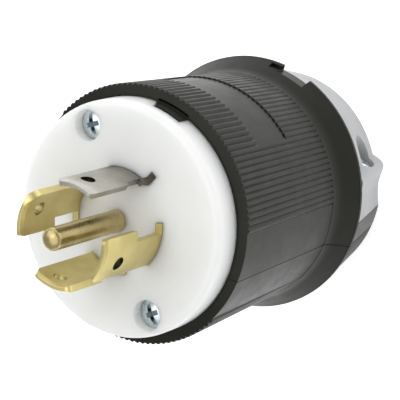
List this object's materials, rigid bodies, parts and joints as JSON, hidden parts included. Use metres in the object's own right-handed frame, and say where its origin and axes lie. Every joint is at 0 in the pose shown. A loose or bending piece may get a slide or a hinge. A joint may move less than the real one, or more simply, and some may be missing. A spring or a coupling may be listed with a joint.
{
  "type": "locking power plug",
  "caption": "Cord-end locking power plug: white face with curved twist-lock blades and a centre ground pin, ribbed black flanged housing and a screw-down cord clamp.",
  "frame": {"origin": "on the plug's axis, in the plane of the cord end", "axes": "+Z along the axis from the cord end to the blades, +Y towards the keyway and the label pad, +X to the right-hand parting line"},
  "size_m": [0.058, 0.0578, 0.0911],
  "materials": {
    "white_nylon": "smooth moulded satin",
    "white_jaw": "smooth moulded satin",
    "black_nylon": "fine moulded satin",
    "brass": "stamped, bright",
    "nickel_plate": "nickel plated",
    "zinc_steel": "zinc plated",
    "green_screw": "green plated"
  },
  "bodies": {
    "root": {"face_insert": "white_nylon", "housing": "black_nylon", "terminal_block": "white_nylon", "neutral_blade": "nickel_plate", "line_blade_x": "brass", "line_blade_y": "brass", "line_blade_z": "brass", "ground_pin": "brass", "ground_strap": "brass", "line_terminal_screws": "brass", "neutral_terminal_screw": "nickel_plate", "ground_terminal_screw": "green_screw", "line_wire_plates": "brass", "neutral_wire_plate": "nickel_plate", "ground_wire_plate": "brass", "assembly_screws": "zinc_steel", "assembly_inserts": "brass", "clamp_jaw_upper": "white_jaw", "clamp_jaw_lower": "black_nylon", "clamp_screws": "zinc_steel", "clamp_nuts": "zinc_steel"}
  },
  "joints": []
}
